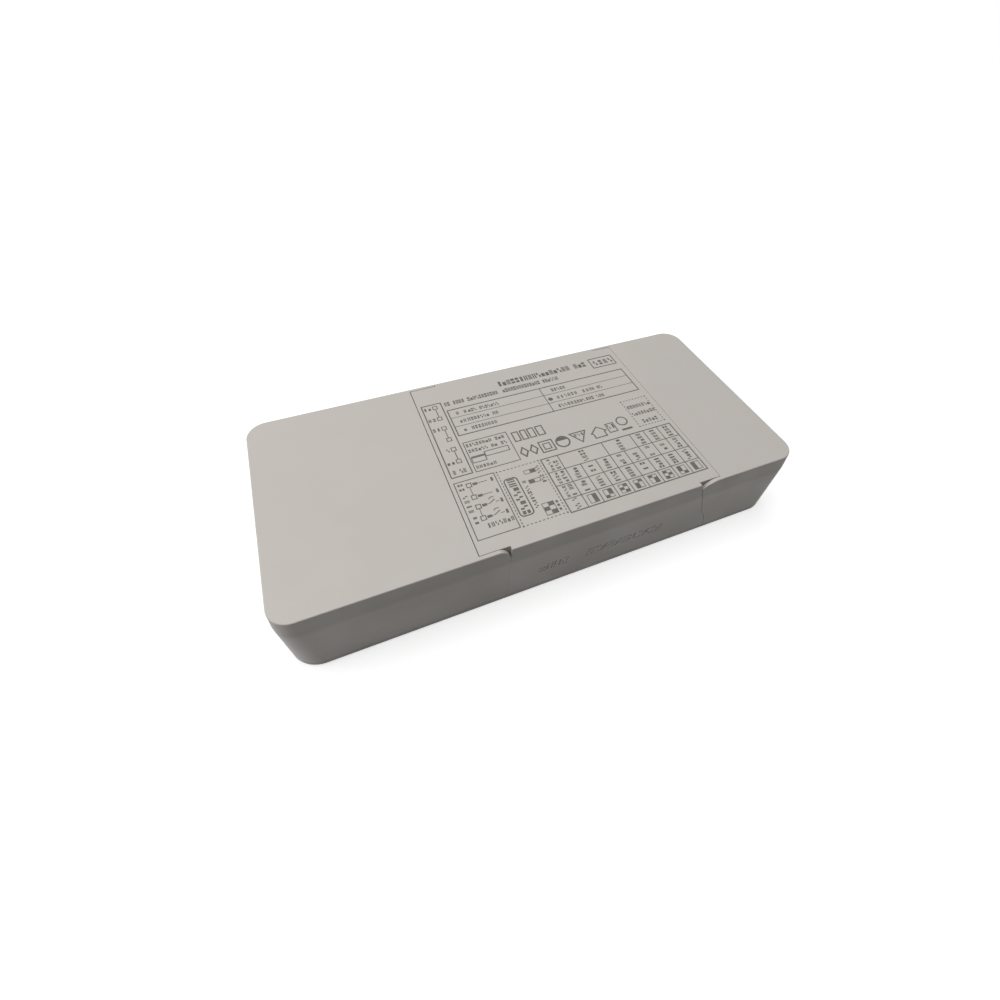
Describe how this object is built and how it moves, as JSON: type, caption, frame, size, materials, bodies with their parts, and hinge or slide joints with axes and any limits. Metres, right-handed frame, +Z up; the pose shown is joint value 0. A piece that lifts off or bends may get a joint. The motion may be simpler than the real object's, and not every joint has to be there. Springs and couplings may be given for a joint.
{
  "type": "led driver",
  "caption": "Flat white plastic LED driver case with two lift-off wiring covers over terminals, cable clamps and a selector switch, round one circuit board.",
  "frame": {"origin": "middle of the case's length and width, on the underside of the base tray", "axes": "+X along the case to the secondary (output) end, +Y to the far side, +Z up through the label face"},
  "size_m": [0.1572, 0.07, 0.0248],
  "materials": {
    "case_plastic": "fine spark-eroded grain, satin",
    "tray_plastic": "fine grain, matt",
    "insulation_film": "thin translucent film",
    "board_laminate": "green solder mask",
    "zinc_plated_steel": "bright zinc plate",
    "tinned_copper": "tinned, satin",
    "plain_aluminium": "mill finish",
    "ferrite": "fine ground ceramic",
    "enamelled_copper": "enamelled, glossy",
    "winding_tape": "polyester tape, satin",
    "black_moulding": "moulding compound, matt",
    "capacitor_sleeve": "shrunk sleeve, glossy",
    "terminal_moulding": "smooth, satin",
    "film_capacitor_case": "smooth, satin",
    "mains_capacitor_case": "smooth, satin",
    "disc_coating": "dipped epoxy, glossy",
    "disc_coating_orange": "dipped epoxy, glossy",
    "switch_body": "smooth, satin"
  },
  "bodies": {
    "driver": {"base_tray": "tray_plastic", "label_housing": "case_plastic", "insulation_sheet": "insulation_film", "circuit_board": "board_laminate", "mains_terminal": "terminal_moulding", "control_terminal": "terminal_moulding", "output_terminal": "terminal_moulding", "mains_clip_1": "tinned_copper", "mains_clip_2": "tinned_copper", "mains_clip_3": "tinned_copper", "mains_clip_4": "tinned_copper", "mains_clip_5": "tinned_copper", "mains_clip_6": "tinned_copper", "control_clip_1": "tinned_copper", "control_clip_2": "tinned_copper", "control_clip_3": "tinned_copper", "control_clip_4": "tinned_copper", "output_clip_1": "tinned_copper", "output_clip_2": "tinned_copper", "selector_switch": "switch_body", "fuse": "black_moulding", "varistor": "disc_coating", "mains_capacitor": "mains_capacitor_case", "bridge_rectifier": "black_moulding", "choke_core": "ferrite", "choke_coil_1": "enamelled_copper", "choke_coil_2": "enamelled_copper", "film_capacitor": "film_capacitor_case", "bulk_capacitor": "capacitor_sleeve", "filter_choke_core_left": "ferrite", "filter_choke_core_right": "ferrite", "filter_choke_bobbin": "black_moulding", "filter_choke_winding": "winding_tape", "transformer_core_left": "ferrite", "transformer_core_right": "ferrite", "transformer_bobbin": "black_moulding", "transformer_winding": "winding_tape", "heat_spreader": "plain_aluminium", "power_transistor": "black_moulding", "transistor_screw": "zinc_plated_steel", "output_capacitor_1": "capacitor_sleeve", "output_capacitor_2": "capacitor_sleeve", "safety_capacitor": "disc_coating_orange", "optocoupler": "black_moulding", "filter_controller": "black_moulding", "dimming_controller": "black_moulding", "primary_clamp": "terminal_moulding", "secondary_clamp": "terminal_moulding", "clamp_screw_1": "zinc_plated_steel", "clamp_screw_2": "zinc_plated_steel", "clamp_screw_3": "zinc_plated_steel", "clamp_screw_4": "zinc_plated_steel", "board_screw_1": "zinc_plated_steel", "board_screw_2": "zinc_plated_steel"},
    "primary_cover": {"primary_cover": "case_plastic"},
    "secondary_cover": {"secondary_cover": "case_plastic"},
    "slider_1": {"switch_slider_1": "terminal_moulding"},
    "slider_2": {"switch_slider_2": "terminal_moulding"},
    "slider_3": {"switch_slider_3": "terminal_moulding"}
  },
  "joints": [
    {"name": "primary_cover_lift", "type": "slide", "parent": "driver", "child": "primary_cover", "axis": [0, 0, 1], "range_m": [0, 0.03]},
    {"name": "secondary_cover_lift", "type": "slide", "parent": "driver", "child": "secondary_cover", "axis": [0, 0, 1], "range_m": [0, 0.03]},
    {"name": "switch_slider_1_travel", "type": "slide", "parent": "driver", "child": "slider_1", "axis": [1, 0, 0], "range_m": [0, 0.002]},
    {"name": "switch_slider_2_travel", "type": "slide", "parent": "driver", "child": "slider_2", "axis": [1, 0, 0], "range_m": [0, 0.002]},
    {"name": "switch_slider_3_travel", "type": "slide", "parent": "driver", "child": "slider_3", "axis": [1, 0, 0], "range_m": [0, 0.002]}
  ]
}
